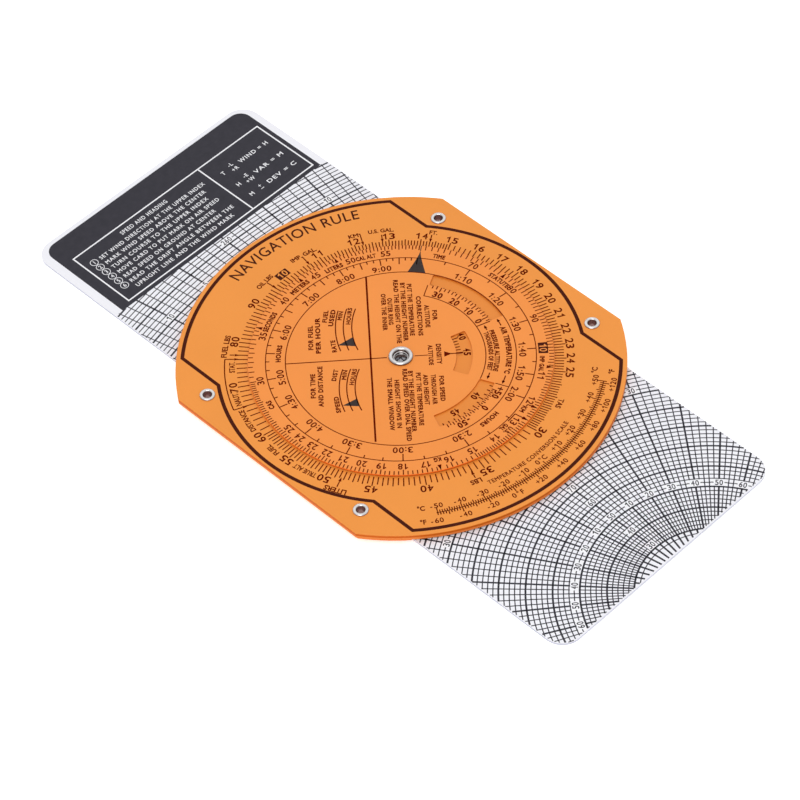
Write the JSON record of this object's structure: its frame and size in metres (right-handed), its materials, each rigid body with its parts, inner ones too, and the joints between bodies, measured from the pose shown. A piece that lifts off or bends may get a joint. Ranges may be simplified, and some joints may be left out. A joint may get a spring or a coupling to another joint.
{
  "type": "circular slide rule",
  "caption": "Orange circular slide rule with a rotating computing disc on a hollow rivet, a rotating compass ring on the back and a long sliding printed card.",
  "frame": {"origin": "on the pivot axis, in the plane of the back plate's outer face, on which the rule lies", "axes": "+Z out of the computing side, +Y along the wind card towards its formula panel, +X to the right as seen from the computing side"},
  "size_m": [0.12, 0.239, 0.0072],
  "materials": {
    "body_sheet": "satin fluorescent orange sheet",
    "disc_sheet": "satin fluorescent orange sheet",
    "scale_sheet": "duller orange sheet of window scales",
    "card": "satin white",
    "frosted_clear": "frosted clear plastic",
    "nickel": "polished nickel plate",
    "washer_film": "thin slip film",
    "ink": "printed dark ink",
    "panel_ink": "printed charcoal ink",
    "white_ink": "printed white ink"
  },
  "bodies": {
    "housing": {"front_plate": "body_sheet", "scale_sheet": "scale_sheet", "front_liner": "body_sheet", "left_spacer": "body_sheet", "right_spacer": "body_sheet", "back_liner": "body_sheet", "back_plate": "body_sheet", "disc_washer": "washer_film", "centre_washer": "nickel", "centre_eyelet": "nickel", "eyelet_front_left": "nickel", "eyelet_washer_front_left": "nickel", "eyelet_front_right": "nickel", "eyelet_washer_front_right": "nickel", "eyelet_rear_left": "nickel", "eyelet_washer_rear_left": "nickel", "eyelet_rear_right": "nickel", "eyelet_washer_rear_right": "nickel"},
    "computing_disc": {"computer_disc": "disc_sheet"},
    "compass": {"plotting_disc": "frosted_clear", "azimuth_ring": "disc_sheet"},
    "wind_card": {"wind_slide": "card"}
  },
  "joints": [
    {"name": "computing_disc_spin", "type": "hinge", "parent": "housing", "child": "computing_disc", "pos_m": [0, 0, 0.00606], "axis": [0, 0, 1], "continuous": true},
    {"name": "compass_spin", "type": "hinge", "parent": "housing", "child": "compass", "pos_m": [0, 0, 0.0013], "axis": [0, 0, 1], "continuous": true},
    {"name": "wind_card_slide", "type": "slide", "parent": "housing", "child": "wind_card", "axis": [0, 1, 0], "range_m": [-0.079, 0.108]}
  ]
}
